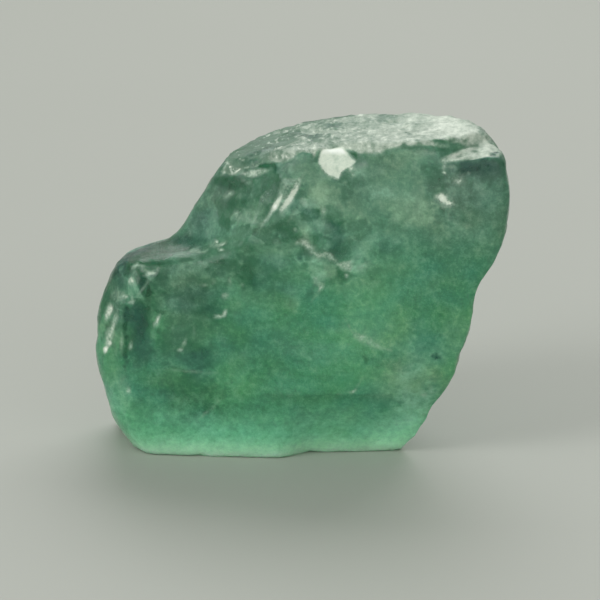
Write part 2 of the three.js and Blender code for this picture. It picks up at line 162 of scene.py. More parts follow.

# White cracks and scuffs, and the painted highlights marked below.
WHITE_PATCHES = {
    "crest_scuff": patch(0.3, -6.9, 10.75, 0.35, 0.18, -20),
    "crest_scuff_low": patch(0.28, -7.4, 10.4, 0.35, 0.18, 25),
    "crest_haze": cloud(0.25, -7.8, 10.6, 1.6, 0.7, -5),
    "crest_flake": patch(0.35, -6.3, 8.6, 0.18, 0.35, 0),
    "crest_flake_haze": cloud(0.35, -6.0, 8.3, 1.2, 0.6, -10),
    "crest_flake_low": patch(0.5, -4.6, 7.85, 0.4, 0.16, 0),
    "crest_spot": patch(0.45, -5.2, 11.7, 0.3, 0.2, 0),
    "crest_facet_low": cloud(0.35, -2.4, 5.8, 0.6, 0.4, 0),
    "crest_thread": patch(0.45, -4.2, 5.9, 0.3, 0.12, 0),
    # The next six are the streak's cleavage facets: frosted, and white partly from painted reflection.
    "wide_streak": patch(0.6, -1.3, 9.6, 1.35, 0.36, 56),
    "wide_streak_high": patch(0.38, -0.45, 11.1, 1.2, 0.36, 63),
    "thin_streak": patch(0.58, -3.0, 8.65, 1.5, 0.18, 54),
    "thin_streak_tail": patch(0.4, -3.5, 7.95, 0.6, 0.14, 54),
    "thin_streak_high": patch(0.5, -2.4, 9.6, 0.7, 0.25, 60),
    "streak_root": patch(0.35, -0.8, 8.4, 0.8, 0.2, 60),
    "shoulder_haze": cloud(0.08, -11.6, 4.9, 1.6, 0.5, 6),
    # The next four are painted highlights where the shoulder catches the light.
    "shoulder_spark": patch(1.1, -8.4, 5.85, 0.22, 0.2, 0),
    "shoulder_spark_side": patch(1.0, -7.8, 5.6, 0.32, 0.13, 15),
    "shoulder_spark_left": patch(0.5, -8.6, 5.4, 0.4, 0.22, 0),
    "shoulder_spark_low": patch(1.3, -7.85, 5.0, 0.22, 0.13, 0),
    "under_diamond": cloud(0.3, 2.0, 11.2, 1.3, 0.5, 10),
    "bone_stripe": patch(0.55, 0.5, 9.7, 0.8, 0.28, -50),
    "bone_spot": patch(0.6, 2.4, 8.9, 0.32, 0.32, 10),
    "middle_spot": patch(0.8, -0.45, 7.1, 0.16, 0.16, 60),
    "middle_spot_low": patch(0.6, -0.35, 5.7, 0.2, 0.18, 30),
    "crack_high": patch(0.5, 0.55, 5.6, 0.6, 0.28, -50),
    "crack_bridge": patch(0.5, 3.3, 4.1, 0.5, 0.24, -40),
    "crack_haze": cloud(0.3, 2.0, 4.6, 1.8, 0.7, -20),
    "crack_haze_high": cloud(0.3, 0.6, 5.7, 0.9, 0.6, -50),
    # A painted highlight.
    "crack_spark": patch(1.0, 4.65, 2.5, 0.16, 0.16, 0),
    "hook_tail": patch(0.32, 1.9, 0.9, 0.7, 0.2, 55),
    "hook_foot": patch(0.38, 1.25, 0.0, 0.3, 0.14, 60),
    "right_of_patch": cloud(0.4, 6.2, 3.4, 0.8, 0.4, 20),
    "diamond_crumb": patch(0.9, 5.15, 13.1, 0.17, 0.10, 30),
    "diamond_crumb_foot": patch(0.6, 4.5, 11.8, 0.17, 0.12, 0),
    "diamond_crumb_low": patch(0.8, 5.3, 12.5, 0.14, 0.14, 0),
    "right_spark": patch(0.95, 14.3, 10.15, 0.30, 0.42, 10),
    "right_spark_haze": cloud(0.45, 14.5, 10.0, 1.0, 0.8, 0),
    "arc_line": patch(0.3, 9.0, 10.95, 2.9, 0.16, -4, 0.25),
    "arc_line_right": patch(0.25, 16.9, 7.4, 2.2, 0.16, -42, 0.25),
    "right_spark_side": patch(0.9, 14.9, 9.7, 0.3, 0.16, -10),
    "right_spark_low": patch(0.8, 14.6, 9.3, 0.2, 0.13, 0),
    "right_spark_high": patch(0.5, 13.8, 10.3, 0.4, 0.3, 20),
    "right_spark_tail": patch(0.4, 14.9, 8.3, 0.16, 0.6, 0),
    "terrace_crumb": patch(0.8, 14.4, 13.4, 0.18, 0.3, 0),
    "terrace_crumb_bone": patch(0.6, 15.3, 13.3, 0.4, 0.25, 0),
    "terrace_crumb_low": patch(1.2, 14.4, 12.7, 0.16, 0.16, 0),
    "terrace_crumb_side": patch(0.8, 16.9, 12.7, 0.16, 0.14, 0),
    "corner_crumb_low": patch(0.5, 15.9, 11.9, 0.18, 0.18, 0),
    "corner_haze": cloud(0.45, 15.8, 12.0, 0.9, 0.8, 0),
    "under_rim_haze": cloud(0.4, 12.0, 14.7, 0.7, 0.4, 0),
    "under_rim_haze_right": patch(0.6, 13.1, 14.7, 0.45, 0.2, -15),
    "veil_haze": cloud(0.18, 6.8, -3.5, 2.8, 0.8, -28),
    "low_crack": patch(0.55, 5.0, -9.2, 0.7, 0.13, 8),
    "low_crack_rise": patch(0.45, 5.9, -8.4, 0.8, 0.12, 55),
    "low_right_spot": patch(0.5, 12.3, -9.5, 0.4, 0.22, 0),
    "low_right_spot_high": patch(0.4, 13.1, -9.0, 0.3, 0.5, 25),
    # The next five are painted highlights along the rim of the scoop.
    "rim_spark": patch(1.1, -16.45, 3.45, 0.3, 0.16, 50),
    "rim_glint_bead": patch(0.8, -15.9, 3.45, 0.28, 0.14, 0),
    "rim_bridge": patch(0.6, -15.4, 2.9, 0.45, 0.2, -25),
    "rim_spark_right": patch(1.15, -15.0, 2.65, 0.4, 0.15, 20),
    "rim_curl": patch(0.6, -15.45, 1.5, 1.2, 0.12, 53),
    "scoop_bone": patch(0.6, -16.9, 1.85, 0.3, 0.4, 0),
    "scoop_face": patch(0.35, -16.5, 2.1, 0.5, 0.9, 0),
    # The next three are painted highlights round the lobe's loop.
    "lobe_glint_bead": patch(0.9, -17.4, 0.35, 0.22, 0.18, 0),
    "lobe_loop": patch(0.75, -16.75, 0.2, 0.16, 0.4, 10),
    "lobe_loop_low": patch(0.7, -17.0, -0.2, 0.3, 0.14, 10),
    "lobe_face": patch(0.4, -18.2, 0.4, 0.8, 0.6, 10),
    # The next six are painted sheen and glints down the lobe's striped edge.
    "lobe_edge_sheen_high": patch(0.88, -19.15, -1.15, 0.9, 0.42, 74),
    "lobe_edge_sheen_low": patch(0.78, -19.15, -3.7, 1.2, 0.42, 74),
    "lobe_edge_glint_bead": patch(0.9, -18.95, -4.35, 0.2, 0.16, 0),
    "lobe_edge_spark": patch(1.2, -19.5, -5.0, 0.18, 0.25, 0),
    "lobe_sheen_stripe": patch(0.6, -18.5, -1.9, 0.34, 0.95, -8),
    "lobe_sheen_stripe_low": patch(0.65, -17.85, -4.4, 0.2, 0.7, 0),
    # The next nine are painted glints.
    "glint_lobe": patch(1.1, -14.25, -2.0, 0.48, 0.19, 72),
    "glint_lobe_low": patch(1.1, -16.95, -4.5, 0.14, 0.32, -8),
    "glint_pool": patch(0.6, -12.7, -2.75, 0.14, 0.24, -10),
    "glint_pool_right": patch(0.4, -10.6, -3.1, 0.15, 0.5, 0),
    "glint_left": patch(1.1, -11.6, -4.35, 0.40, 0.15, 68),
    "glint_left_low": patch(1.1, -12.05, -4.98, 0.18, 0.14, 0),
    "glint_middle": patch(1.05, -7.5, -1.25, 0.42, 0.18, 75),
    "glint_middle_low": patch(1.1, -8.15, -1.65, 0.3, 0.13, 0),
    "glint_middle_high": patch(0.75, -7.5, 0.45, 0.34, 0.28, 20),
    "row_left": patch(0.5, -9.6, 1.55, 0.4, 0.16, 10),
    "row_middle": patch(0.45, -8.6, 1.85, 0.3, 0.2, 30),
    "row_right": patch(0.6, -7.0, 1.95, 0.14, 0.34, 0),
    "row_end": patch(0.5, -5.8, 1.55, 0.2, 0.2, 0),
    "hollow_crescent": patch(0.5, -10.9, -7.15, 1.9, 0.13, -4),
    "hollow_crescent_low": patch(0.45, -9.1, -11.0, 1.2, 0.13, 42),
    # A painted glint.
    "foot_spark": patch(0.9, -17.15, -9.1, 0.17, 0.22, 0),
    "foot_haze": cloud(0.25, -17.9, -8.0, 0.6, 1.4, 12),
    "tip_spark": patch(1.6, -6.95, 13.3, 0.18, 0.12, 0),
    "tip_spark_high": patch(0.9, -7.4, 13.8, 0.2, 0.12, 40),
    "tip_spark_left": patch(1.0, -7.5, 12.9, 0.25, 0.12, 60),
    "tip_spark_right": patch(0.8, -6.4, 12.85, 0.24, 0.1, 40),
    "tip_spark_low": patch(0.7, -6.8, 12.6, 0.2, 0.1, 20),
    "tip_spark_side": patch(1.0, -7.1, 13.6, 0.14, 0.1, 0),
    "tip_spark_inner": patch(0.8, -6.1, 13.1, 0.18, 0.1, 30),
    "tip_haze": cloud(0.15, -6.8, 13.2, 0.8, 0.6, 30),
    "rim_crumb": patch(0.9, 0.8, 17.2, 0.4, 0.13, 0),
    "rim_crumb_left": patch(0.7, -2.3, 16.75, 0.25, 0.16, 0),
    "top_lens": patch(0.75, -1.9, 14.35, 1.6, 0.45, 16),
    # The next five are painted glare on the frosted top.
    "top_gleam": patch(0.7, 3.4, 16.7, 0.7, 0.2, 0),
    "top_left_gleam": cloud(0.35, -1.0, 15.8, 1.5, 0.7, 15),
    "top_glare_left": cloud(0.7, 14.0, 18.3, 1.1, 0.5, -10),
    "top_glare_right": cloud(0.8, 16.0, 17.2, 1.9, 0.8, -14),
    "top_front_gleam": patch(0.7, 13.8, 15.5, 0.9, 0.2, -6),
    "top_front_band": cloud(0.55, 6.0, 15.2, 4.0, 0.5, 2),
}

# Deeper green places, and painted shade: the shadows and shades named so, and the shade in the hollows marked
# below.
DARK_PATCHES = {
    "blue_pool": cloud(0.8, -3.0, 1.6, 2.4, 1.8, -10),
    "under_shelf_pool": cloud(0.6, -8.2, -2.4, 3.0, 3.6, 10),
    "low_middle_pool": cloud(0.5, -3.4, -10.8, 4.4, 1.7, 0),
    "curl_pool": cloud(1.0, -14.4, 3.4, 1.3, 1.3, 0),
    "curl_pool_low": cloud(0.7, -14.2, 0.8, 0.9, 1.3, 0),
    "foot_pool": cloud(0.35, -15.8, -11.0, 1.4, 1.4, 0),
    "lobe_shade": cloud(0.45, -11.0, 0.0, 2.8, 3.2, 0),
    "crest_shade": cloud(0.45, -5.0, 8.0, 3.5, 3.0, 30),
    "ledge_shadow": cloud(1.2, -13.0, 5.3, 3.4, 0.7, 12),
    "diamond_ridge": patch(0.55, 3.45, 14.1, 0.14, 1.0, 12),
    "lobe_top_pool": cloud(1.3, -16.5, 4.0, 1.6, 0.9, 30),
    "shelf_left_shade": cloud(0.8, -14.3, 5.3, 1.2, 0.6, 15),
    "ledge_end_pool": cloud(1.0, -14.7, 4.45, 1.3, 0.5, 10),
    # The next three are painted shade in the lobe's hollow.
    "scoop_shade": cloud(1.3, -15.8, 1.9, 0.45, 1.1, 5),
    "lobe_hollow_shade": cloud(1.3, -15.9, -1.2, 1.2, 1.6, 0),
    "lobe_hollow_shade_low": cloud(1.1, -15.9, -4.2, 1.2, 2.2, 0),
    "lobe_line": patch(1.0, -17.4, -2.2, 0.22, 1.2, 0),
    "lobe_line_low": patch(1.1, -17.45, -4.9, 0.2, 1.4, 0),
    "lobe_cleft": patch(1.0, -19.1, -2.6, 0.9, 0.16, 66),
    "lobe_side": patch(0.7, -18.0, 1.8, 0.4, 0.9, 10),
    "lobe_outline": shard(
        0.8, (-20.4, -2.5), (-19.9, 0.2), (-19.2, 2.8), (-17.7, 5.0), (-16.0, 5.5), (-14.2, 6.3),
        (-14.2, 5.6), (-16.2, 4.7), (-17.8, 3.6), (-18.7, 1.8), (-19.3, -0.4), (-19.9, -2.4)),
    "left_pool": cloud(0.5, -13.6, -5.4, 1.6, 1.2, 0),
    "left_low_pool": cloud(0.6, -12.5, -8.2, 3.0, 1.3, 0),
    "left_low_pool_two": cloud(1.0, -10.4, -5.8, 1.8, 1.3, -15),
    "hollow_pool": cloud(0.85, -10.8, -11.0, 2.8, 2.1, 0),
    "shoulder_pool_high": cloud(0.45, -6.0, 5.2, 1.9, 0.8, 0),
    "shoulder_pool": cloud(0.5, -7.0, 3.6, 1.8, 1.2, -10),
    "middle_pool": cloud(0.5, -3.4, 4.2, 2.4, 1.4, -10),
    "middle_pool_left": cloud(0.7, -5.2, 2.0, 1.0, 1.0, 0),
    "crest_deep": shard(
        0.95, (-8.6, 12.2), (-7.5, 12.4), (-6.0, 12.2), (-5.4, 11.9), (-5.5, 11.4), (-6.2, 11.0),
        (-7.5, 11.3), (-8.6, 11.5)),
    "crest_wedge": shard(
        1.4, (-4.3, 13.4), (-3.8, 13.7), (-3.0, 13.8), (-2.0, 13.5), (-1.9, 12.8), (-2.4, 12.7),
        (-3.0, 13.1), (-3.8, 13.25)),
    "crest_pool_low": cloud(0.7, -3.6, 9.6, 0.5, 1.2, 0),
    "crest_left_pool": cloud(0.8, -9.9, 8.0, 0.9, 1.2, -20),
    "crest_pool_two": cloud(0.5, -6.6, 9.7, 1.2, 0.5, 0),
    "under_streak": cloud(0.75, -1.4, 7.0, 1.2, 0.9, 20),
    "under_streak_right": cloud(0.6, -0.6, 9.4, 0.4, 0.8, -30),
    "crack_pool_left": shard(
        1.0, (-0.2, 9.2), (1.2, 9.2), (2.0, 9.1), (2.0, 8.1), (1.0, 7.9), (0.2, 8.0)),
    "crack_pool": cloud(1.1, 3.8, 7.1, 0.6, 1.5, -10),
    "crack_pool_high": cloud(0.9, 3.1, 8.0, 0.5, 0.6, 0),
    "crack_pool_right": cloud(0.8, 3.6, 5.0, 1.0, 0.9, 0),
    "crack_pool_inner": cloud(0.4, 1.9, 6.4, 0.8, 0.9, 0),
    "under_crack": shard(
        1.1, (0.0, 5.4), (0.4, 5.4), (1.1, 4.9), (1.1, 4.6), (0.4, 4.3), (-0.1, 3.8), (-0.3, 4.5)),
    "patch_shadow": shard(0.7, (3.7, 3.3), (4.0, 3.1), (4.6, 2.2), (4.2, 1.9), (3.7, 2.4)),
    "hook_shadow": cloud(0.6, 1.0, 0.8, 0.3, 0.9, -20),
    "centre_low": cloud(0.4, -2.5, -5.0, 3.6, 2.6, 0),
    "right_dark": cloud(0.7, 8.7, 5.2, 1.0, 0.8, 0),
    "corner_pool": cloud(1.1, 18.3, 13.1, 2.2, 0.8, 8),
    "corner_pool_left": cloud(0.9, 16.6, 13.3, 0.7, 0.6, 0),
    "corner_blue": cloud(0.6, 13.2, 12.9, 0.9, 1.0, 0),
    "right_middle_pool": cloud(0.35, 17.6, 8.8, 1.6, 1.2, 0),
    "wedge": shard(
        0.3, (13.3, 15.3), (14.8, 15.3), (15.8, 15.5), (16.4, 15.4), (16.0, 15.0), (15.2, 14.7),
        (14.3, 14.2), (13.7, 14.4)),
    "terrace_shade": cloud(0.22, 16.0, 14.6, 3.0, 0.9, 15),
    "terrace_shade_right": cloud(0.26, 18.6, 15.2, 1.6, 1.0, 20),
    "terrace_line": patch(0.3, 16.6, 14.6, 2.0, 0.07, 17),
    "terrace_line_high": patch(0.3, 17.4, 15.1, 1.8, 0.07, 19),
    "terrace_line_low": patch(0.3, 17.6, 14.3, 1.8, 0.06, 12),
    "wedge_curl": patch(0.65, 14.9, 15.9, 1.1, 0.18, 6),
    "wedge_line": patch(0.35, 13.4, 15.85, 1.1, 0.1, -2),
    "rim_line": patch(0.9, 11.6, 15.25, 1.7, 0.2, -3),
    "rim_line_left": patch(0.5, 7.2, 14.42, 2.0, 0.12, 0),
    # Painted shade in the hollow beside the diamond.
    "diamond_hollow_shade": patch(1.2, 5.3, 14.55, 0.45, 0.3, -20),
    "under_ridge": cloud(0.2, 8.0, 14.0, 3.0, 0.45, 2),
    "terrace_groove": patch(0.8, 19.0, 14.5, 0.9, 0.12, 30),
    "top_shadow": patch(0.8, 1.2, 16.4, 0.9, 0.35, 6),
    "top_shadow_high": patch(0.9, 3.0, 17.45, 0.9, 0.2, -6),
    "top_shadow_left": patch(0.7, -0.9, 16.5, 0.9, 0.25, 14),
    "top_shadow_line": cloud(0.5, 8.6, 18.2, 1.5, 0.3, 4),
    "top_shadow_line_low": patch(0.4, 9.4, 17.6, 0.5, 0.15, 0),
    "rim_curl_right": patch(0.8, 18.3, 16.75, 0.6, 0.13, -50),
    "top_left_shade": cloud(0.5, -4.6, 15.0, 2.0, 1.0, 30),
    "top_lens_shadow": patch(0.6, -2.6, 15.35, 1.9, 0.22, 20),
    "top_curl": patch(0.7, 11.0, 16.4, 0.4, 0.12, -45),
    "tip_pool": cloud(0.6, -5.0, 13.8, 1.2, 0.3, 0),
    "dark_speck": patch(1.6, 13.65, -5.75, 0.26, 0.18, -25),
    "dark_speck_small": patch(1.0, 6.5, -5.8, 0.2, 0.36, 10),
}

# Milky clouds, and the painted glow of light along the foot.
PALE_PATCHES = {
    "bone_cloud": cloud(0.42, 2.2, 10.6, 1.4, 1.0, 10),
    "crack_glow": cloud(0.8, 0.7, 6.5, 0.6, 0.9, 15),
    "triangle": shard(0.6, (1.2, 4.2), (2.2, 4.0), (3.6, 3.4), (3.8, 2.6), (2.6, 1.8), (1.2, 1.6)),
    "triangle_left": shard(0.35, (-3.0, 5.0), (-1.2, 5.2), (-0.8, 3.2), (-2.0, 3.0), (-2.6, 4.0)),
    "under_rim_veil": cloud(0.5, 10.6, 14.2, 2.4, 0.8, 0),
    "ridge_right_cloud": cloud(0.35, 6.8, 12.8, 1.3, 0.8, 0),
    "patch_cloud": cloud(0.5, 5.8, 3.4, 1.3, 0.7, 10),
    "rising_cloud": patch(0.45, 6.4, 5.2, 1.8, 0.6, 50, 0.4),
    "hook_haze": cloud(0.35, -0.8, 0.2, 0.8, 1.0, 0),
    "right_arc": shard(
        0.42, (5.2, 11.5), (8.2, 11.0), (10.7, 10.8), (12.7, 10.1), (13.8, 9.1), (13.2, 7.8), (11.5, 7.2),
        (9.5, 7.8), (8.2, 9.0), (6.5, 10.4)),
    "arc_head": cloud(0.35, 8.0, 11.3, 1.7, 0.7, -5),
    "corner_green": cloud(0.28, 16.8, 10.4, 2.4, 2.2, 0),
    "right_edge_green": cloud(0.18, 17.5, 7.6, 2.6, 2.4, 0),
    "right_arc_foot": cloud(0.12, 12.4, 7.6, 1.8, 1.4, 0),
    "diamond_side_haze": cloud(0.4, 5.7, 12.7, 0.8, 0.6, 0),
    "low_right_rise": cloud(0.55, 11.4, -11.2, 1.5, 1.5, 0),
    "right_middle_cloud": cloud(0.3, 14.4, 6.6, 1.4, 1.2, 0),
    "right_side_cloud": cloud(0.3, 15.6, -3.8, 1.5, 2.2, 0),
    "right_green": cloud(0.3, 9.2, 12.8, 1.2, 0.8, 0),
    "right_veil": cloud(0.35, 17.4, 6.6, 2.0, 0.4, -35),
    "crest_cloud": cloud(0.25, -8.6, 9.0, 1.0, 1.2, 0),
    "crest_cloud_low": cloud(0.22, -5.0, 6.4, 2.6, 0.9, 5),
    "left_cloud": cloud(0.3, -11.6, 0.6, 1.4, 2.4, 0),
    "lobe_foot_cloud": cloud(0.4, -18.3, -9.8, 1.6, 2.2, 12),
    "low_right_cloud": cloud(0.52, 12.0, -7.8, 2.4, 2.4, 40),
    "low_right_cloud_side": cloud(0.42, 9.0, -8.8, 2.0, 1.9, 0),
    # Painted glow of light at the foot.
    "low_right_foot_glow": cloud(0.8, 9.6, -13.2, 2.6, 1.4, 10),
    "main_cloud": cloud(0.25, 9.0, -4.0, 4.5, 2.6, -10),
    "left_arc": cloud(0.3, -11.5, -12.0, 3.0, 0.4, -12),
    "hollow_arc": patch(0.5, -8.6, -10.8, 0.2, 1.4, -20),
    "hollow_arc_high": patch(0.4, -10.0, -7.6, 1.0, 0.18, 35),
    "middle_smudge": cloud(0.3, -6.0, -5.6, 1.0, 0.5, 10),
    # Painted glow of light along the foot.
    "foot_glow": cloud(0.3, -9.0, -14.0, 7.6, 1.9, 0),
    "foot_glow_right": cloud(0.35, 4.0, -13.4, 7.5, 2.0, 0),
}

# Greyer, slaty facets.
SLATE_PATCHES = {
    "crest_facet": shard(
        0.9, (-4.0, 12.4), (-3.0, 12.6), (-1.9, 12.6), (-1.9, 11.0), (-2.6, 10.0), (-3.6, 10.0),
        (-4.2, 11.0)),
    "crest_high_facet": cloud(0.55, -0.6, 12.9, 1.4, 1.0, 0),
    "lobe_top_facet": cloud(0.6, -16.6, 3.9, 1.6, 1.0, 30),
    "crest_left_facet": cloud(0.5, -6.4, 10.0, 2.2, 1.6, 0),
    "streak_side": cloud(0.5, -4.2, 6.9, 2.0, 0.9, -20),
    "middle_facet": shard(0.7, (2.0, 8.5), (2.8, 8.6), (3.3, 7.0), (2.9, 6.0), (2.5, 6.2)),
    "ridge_facet": cloud(0.35, 4.6, 10.6, 1.6, 1.4, -10),
    "ridge_facet_right": cloud(0.2, 7.6, 11.0, 1.6, 0.5, 0),
    "under_ridge_facet": cloud(0.7, 6.6, 13.2, 3.4, 1.2, 0),
    "corner_facet": cloud(0.35, 13.6, 12.6, 2.4, 1.6, 0),
    "shelf_facet": cloud(0.9, -14.0, 5.4, 2.6, 0.7, 16),
    "shelf_facet_low": cloud(0.6, -10.6, 4.2, 2.2, 0.7, 0),
    "left_facet": cloud(0.6, -11.4, -0.6, 2.0, 3.2, 0),
    "left_facet_low": cloud(0.5, -12.4, -4.2, 1.6, 1.4, 0),
    "lobe_facet": cloud(0.6, -18.6, 1.0, 1.0, 2.6, 0),
    "lobe_rib_facet": cloud(0.5, -18.1, -2.4, 1.0, 2.8, 0),
    "shoulder_facet": cloud(0.4, -6.4, 3.4, 2.4, 1.2, 0),
}

# Frosted rims beyond the flat top.
FROST_PATCHES = {
    "left_rim": shard(
        0.95, (-7.8, 12.9), (-7.0, 12.5), (-6.2, 12.7), (-5.6, 13.1), (-4.3, 13.3), (-3.0, 13.9),
        (-1.8, 13.7), (-0.9, 14.0), (-0.3, 14.5), (0.1, 15.0), (0.4, 16.4), (-3.0, 16.4), (-6.4, 14.8)),
    "front_rim": shard(
        1.0, (1.0, 15.0), (2.0, 15.2), (4.4, 15.0), (5.2, 14.9), (5.8, 14.6), (8.2, 14.65), (8.5, 15.1),
        (10.2, 15.3), (12.0, 15.4), (13.4, 15.4), (13.4, 16.6), (1.0, 16.2)),
    "wedge_top": shard(
        0.95, (13.2, 16.4), (14.4, 15.8), (15.8, 15.7), (16.6, 15.3), (18.2, 15.5), (19.0, 16.1),
        (18.6, 16.7), (17.6, 17.4), (13.2, 17.2)),
    "right_rim": shard(
        0.7, (18.2, 17.6), (19.9, 15.6), (20.4, 15.2), (20.2, 15.0), (18.8, 16.2), (17.6, 17.4)),
}

# Painted shade where the base's back edge shows through the stone, a dark band with a sharp upper edge: how
# high that edge is, how soft it is, how far below it the band starts to fade and is gone, its left and right
# ends, and how far each of them fades.
BAND_TOP = -9.3
BAND_EDGE = 0.18
BAND_FADE = (0.2, 1.5)
BAND_ENDS = (-5.0, 11.5)
BAND_END_FADES = (2.0, 5.0)

# Where the stone is full of small breaks.
BROKEN_PATCHES = {
    "crest": cloud(1.0, -3.0, 8.5, 6.5, 4.5, 20),
    "middle": cloud(1.0, 3.0, 5.5, 5.0, 4.5, 0),
    "lobe": cloud(0.8, -16.5, 0.0, 2.6, 4.6, 0),
    "shoulder": cloud(0.5, -10.0, 1.5, 4.0, 3.0, 0),
    "corner": cloud(0.8, 15.5, 11.5, 3.0, 3.0, 0),
    "low_right": cloud(0.5, 12.0, -7.5, 2.5, 3.0, 30),
    "left_low": cloud(0.4, -11.0, -8.0, 5.0, 4.0, 0),
}

# Upright ribs.
RIBBED_PATCHES = {
    "lobe_ribs": cloud(1.0, -17.5, -2.5, 2.8, 4.5, -6),
    "left_ribs": cloud(0.4, -9.5, 0.0, 3.0, 3.0, 0),
}

# The marks that the mesh stores for the material.
MARK_KINDS = ("white", "dark", "pale", "slate", "tone", "hue", "top", "band")


# ---------------------------------------------------------------------------
# Form of the stone, in millimetres
# ---------------------------------------------------------------------------

COARSE_CUTS = 2          # each triangle of the solid becomes nine
FINE_CUTS = 2            # and nine times that where there is something crisp to show
CRISP_REACH = 0.25       # how far round a crisp mark the mesh is fine
SOFTENING = 3            # passes that wear the solid's small facets smooth
WEAR = 0.5               # how far a pass moves each vertex towards the middle of its neighbours
WELD = 0.001             # vertices closer than this are made one
BASE_HEIGHT = 0.35       # below this the stone keeps its flat base
FULL_RELIEF = 1.5        # the fine breaks grow from nothing at the floor up to this height

# Boxes whose surface is worn smoother: [low corner, high corner, passes].
SOFT_PLACES = {
    "left_shelf": ((-30.0, -30.0, 16.0), (-6.0, 30.0, 23.0), 40),
    "front_step": ((-6.0, -30.0, BASE_HEIGHT), (4.0, 0.0, 8.0), 30),
}

# How high the fine breaks stand over the solid.
LARGE_SCOOP, SMALL_SCOOP = 0.30, 0.16
HACKLE, FINE_HACKLE = 0.09, 0.05
TOP_GRAIN, FINE_TOP_GRAIN = 0.30, 0.14
RIB = 0.22
SHARD_DEPTH = 0.10       # how deep the white breaks lie
SOUND_SCOOPS = 0.25      # how much of the scoops is left where the stone is sound

# About the mean of a scoop or of a wave's size, taken off so that breaks go up and down alike.
MIDDLE = 0.3

# How far up a surface faces, and how high it lies, where the flat top starts and is full.
TOP_FACING = (0.62, 0.86)
TOP_HEIGHT = (25.0, 28.5)
TOP_RIM = (0.02, 0.98)   # the top's rim is where the topness lies between these

# How squarely a surface faces the sight line where its marks start and are full.
SEEN_FACING = (0.0, 0.2)

# Widths of the scooped cells, and how much their sides bend.
LARGE_CELL, LARGE_BEND = 4.6, 0.7
SMALL_CELL, SMALL_BEND = 1.8, 0.4
CELL_SIDE = 0.10         # how wide the seam between two cells is, as a share of their size
SCATTER = Vector((12.99, 78.23, 37.72))      # spreads the cells' random values
SCATTER_GAIN = 437.58

# How full of small breaks the stone is where nothing says so, and on the unseen sides.
SOUND_BREAKS, UNSEEN_BREAKS = 0.12, 0.6


def wave(place, size, seed=0.0):
    """Smooth noise from -1 to 1, with swells about this wide in each direction."""
    return noise.noise(Vector((place.x / size[0] + seed, place.y / size[1], place.z / size[2])))


def even_wave(place, size, seed):
    """The same, with swells that are as wide in every direction."""
    return wave(place, (size, size, size), seed)


def ridges(place, size, seed=0.0):
    """Sharp crests with dips between them."""
    return MIDDLE - abs(wave(place, size, seed))


def rise(value, start, end):
    """0 below start, 1 above end, smooth between."""
    part = min(max((value - start) / (end - start), 0.0), 1.0)
    return part * part * (3.0 - 2.0 * part)


def topness(p, normal):
    """1 on the flat top of the stone, 0 elsewhere."""
    return rise(normal.z + 0.12 * even_wave(p, 1.6, seed=5.0), *TOP_FACING) * rise(p.z, *TOP_HEIGHT)


def relief(p, marks):
    """Height of the fine broken surface over the solid."""
    top, broken = marks["top"], marks["broken"]
    scoops = LARGE_SCOOP * (marks["large_reach"] - MIDDLE) + SMALL_SCOOP * (marks["small_reach"] - MIDDLE)
    hackle = HACKLE * ridges(p, (2.4, 2.4, 1.9))
    hackle += FINE_HACKLE * wave(p, (1.0, 1.0, 0.9), seed=7.0)
    grain = TOP_GRAIN * ridges(p, (2.2, 1.6, 2.0), seed=3.0)
    grain += FINE_TOP_GRAIN * wave(p, (1.1, 0.8, 1.0), seed=11.0)
    ribs = RIB * ridges(p, (1.0, 1.0, 6.0), seed=15.0)
    height = scoops * (SOUND_SCOOPS + (1.0 - SOUND_SCOOPS) * broken)
    height += hackle * (1.0 - top)
    height += grain * top
    height += ribs * marks["ribbed"]
    return height - SHARD_DEPTH * min(marks["white"], 1.0)


def marked(marks, across, up, stray):
    """How much of these marks lies here, with their edges moved outwards by stray."""
    total = 0.0
    for strength, softness, depth in marks.values():
        inside = depth(across, up) + stray
        if inside > -softness:
            total += strength * rise(inside, -softness, softness)
    return total


def cells(place, size, bend):
    """The scooped cell about this wide that a place lies in.

    Gives the cell's random value, how far out in the cell the place is, and 0 on its seam or 1 inside.
    """
    bent = place + bend * Vector((even_wave(place, 3.0, seed=81.0), 0.0, even_wave(place, 3.0, seed=91.0)))
    distances, middles = noise.voronoi(bent / size)
    value = math.sin(middles[0].dot(SCATTER)) * SCATTER_GAIN
    return value - math.floor(value), distances[0] ** 2, rise(distances[1] - distances[0], 0.0, CELL_SIDE)


def in_sight(p, normal):
    """Where a point shows, across and up, and how squarely its surface faces the sight line."""
    from_target = p - Vector((0.0, 0.0, SIGHT_HEIGHT))
    nearer = SIGHT_REACH / (SIGHT_REACH - from_target.dot(SIGHT_BACK))
    seen = rise(normal.dot(SIGHT_BACK), *SEEN_FACING)
    return p.x * nearer, from_target.dot(SIGHT_UP) * nearer, seen


def is_crisp(p, normal):
    """Whether a crisp mark or the rim of the frosted top is close by."""
    across, up, seen = in_sight(p, normal)
    if seen <= 0.0:
        return False
    least, most = TOP_RIM
    if least < topness(p, normal) < most:
        return True
    for marks in (WHITE_SHARDS, WHITE_PATCHES, DARK_PATCHES, SLATE_PATCHES):
        for _, softness, depth in marks.values():
            if softness <= EDGE_SOFTNESS and depth(across, up) > -CRISP_REACH:
                return True
    return False


def painted_shade_band(across, up, stray):
    """How much of the painted shade band near the base lies here."""
    left, right = BAND_ENDS
    left_fade, right_fade = BAND_END_FADES
    below = BAND_TOP + 0.5 * stray - up
    layer = rise(below, 0.0, BAND_EDGE) * (1.0 - rise(below, *BAND_FADE))
    return layer * rise(across, left, left + left_fade) * (1.0 - rise(across, right - right_fade, right))


